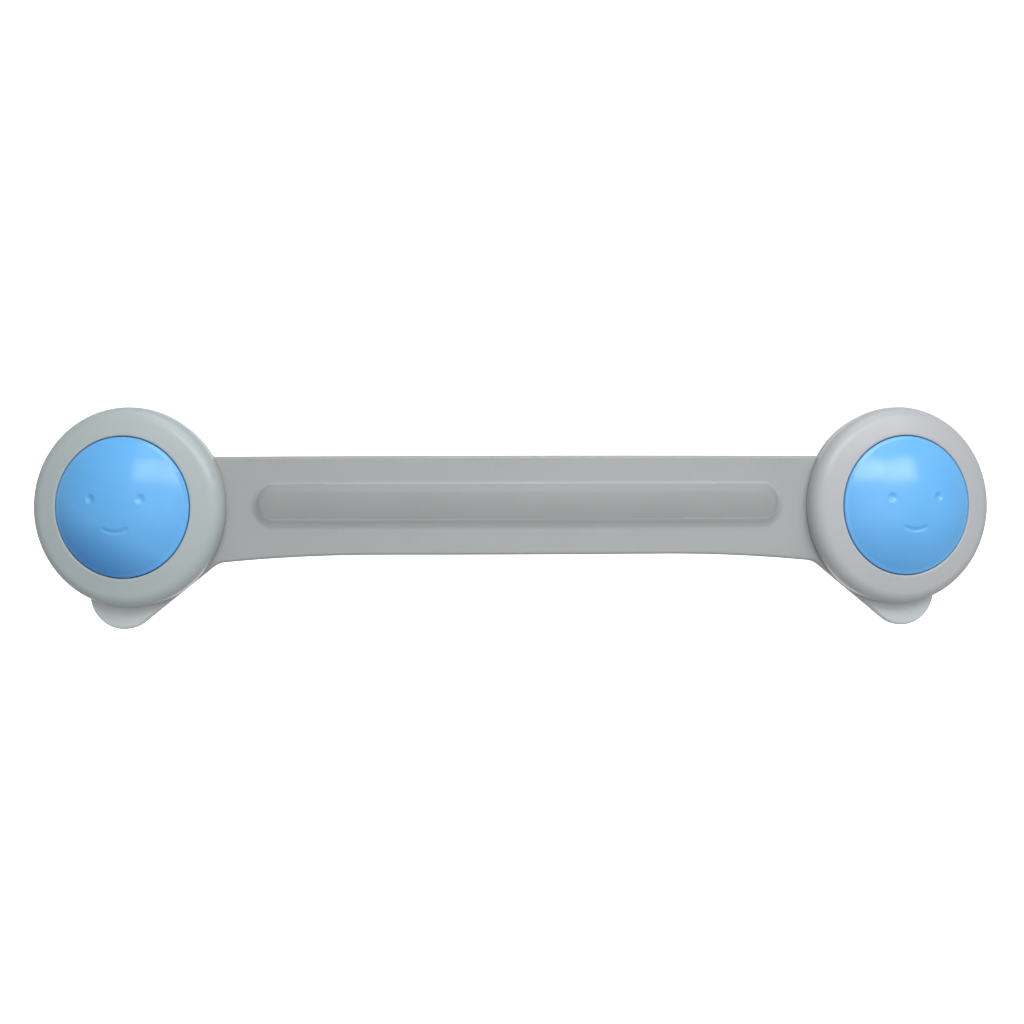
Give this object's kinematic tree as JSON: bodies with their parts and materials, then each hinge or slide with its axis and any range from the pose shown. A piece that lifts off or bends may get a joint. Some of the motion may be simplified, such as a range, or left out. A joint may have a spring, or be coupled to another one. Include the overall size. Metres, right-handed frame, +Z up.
{
  "type": "cabinet safety lock",
  "caption": "Bowed plastic strap with a round press-button head at each end; each head clips onto a base plate stuck down by an adhesive pad.",
  "frame": {"origin": "centre of the lock's bounding box at rest", "axes": "+X along the strap from the left head to the right head, +Y from the buttons towards the adhesive faces, +Z up, away from the lifting tongues"},
  "size_m": [0.1944, 0.024, 0.0444],
  "materials": {
    "ring_plastic": "satin moulded plastic, cool grey white",
    "strap_plastic": "milky flexible plastic, satin",
    "button_plastic": "glossy moulded plastic, light blue",
    "base_plastic": "matt moulded plastic, white",
    "pad_foam": "closed-cell foam with adhesive, off-white",
    "post_steel": "turned and plated steel",
    "spring_steel": "drawn spring wire"
  },
  "bodies": {
    "left_base": {"left_adhesive_pad": "pad_foam", "left_base_plate": "base_plastic", "left_catch_post": "post_steel"},
    "left_head": {"left_strap_end": "strap_plastic", "left_cover_ring": "ring_plastic", "left_latch_clip": "spring_steel", "left_return_spring": "spring_steel"},
    "left_button": {"left_button_cap": "button_plastic"},
    "link_1": {"strap_link_1": "strap_plastic"},
    "link_2": {"strap_link_2": "strap_plastic"},
    "link_3": {"strap_link_3": "strap_plastic"},
    "link_4": {"strap_link_4": "strap_plastic"},
    "link_5": {"strap_link_5": "strap_plastic"},
    "right_head": {"right_strap_end": "strap_plastic", "right_cover_ring": "ring_plastic", "right_latch_clip": "spring_steel", "right_return_spring": "spring_steel"},
    "right_button": {"right_button_cap": "button_plastic"},
    "right_base": {"right_adhesive_pad": "pad_foam", "right_base_plate": "base_plastic", "right_catch_post": "post_steel"}
  },
  "joints": [
    {"name": "left_release", "type": "slide", "parent": "left_base", "child": "left_head", "axis": [-0.2588, -0.9659, 0], "range_m": [0, 0.012], "deforming": ["left_latch_clip"]},
    {"name": "left_press", "type": "slide", "parent": "left_head", "child": "left_button", "axis": [0.2588, 0.9659, 0], "range_m": [0, 0.0018], "stiffness_N_per_m": 2500, "springref_m": -0.001, "deforming": ["left_return_spring", "left_latch_clip"]},
    {"name": "strap_flex", "type": "hinge", "parent": "left_head", "child": "link_1", "pos_m": [-0.04506, -0.00491, 0.00255], "axis": [0, 0, 1], "range_deg": [-5, 10], "stiffness_Nm_per_rad": 0.6},
    {"name": "strap_flex_2", "type": "hinge", "parent": "link_1", "child": "link_2", "pos_m": [-0.02717, -0.00806, 0.00255], "axis": [0, 0, 1], "range_deg": [-5, 10]},
    {"name": "strap_flex_3", "type": "hinge", "parent": "link_2", "child": "link_3", "pos_m": [-0.00908, -0.00965, 0.00255], "axis": [0, 0, 1], "range_deg": [-5, 10]},
    {"name": "strap_flex_4", "type": "hinge", "parent": "link_3", "child": "link_4", "pos_m": [0.00908, -0.00965, 0.00255], "axis": [0, 0, 1], "range_deg": [-5, 10]},
    {"name": "strap_flex_5", "type": "hinge", "parent": "link_4", "child": "link_5", "pos_m": [0.02717, -0.00806, 0.00255], "axis": [0, 0, 1], "range_deg": [-5, 10]},
    {"name": "strap_flex_6", "type": "hinge", "parent": "link_5", "child": "right_head", "pos_m": [0.04506, -0.00491, 0.00255], "axis": [0, 0, 1], "range_deg": [-5, 10]},
    {"name": "right_press", "type": "slide", "parent": "right_head", "child": "right_button", "axis": [-0.2588, 0.9659, 0], "range_m": [0, 0.0018], "stiffness_N_per_m": 2500, "springref_m": -0.001, "deforming": ["right_return_spring", "right_latch_clip"]},
    {"name": "right_release", "type": "slide", "parent": "right_head", "child": "right_base", "axis": [-0.2588, 0.9659, 0], "range_m": [0, 0.012], "deforming": ["right_latch_clip"]}
  ],
  "couplings": [
    {"joint": "strap_flex_2", "follows": "strap_flex", "ratio": 1},
    {"joint": "strap_flex_3", "follows": "strap_flex", "ratio": 1},
    {"joint": "strap_flex_4", "follows": "strap_flex", "ratio": 1},
    {"joint": "strap_flex_5", "follows": "strap_flex", "ratio": 1},
    {"joint": "strap_flex_6", "follows": "strap_flex", "ratio": 1}
  ]
}
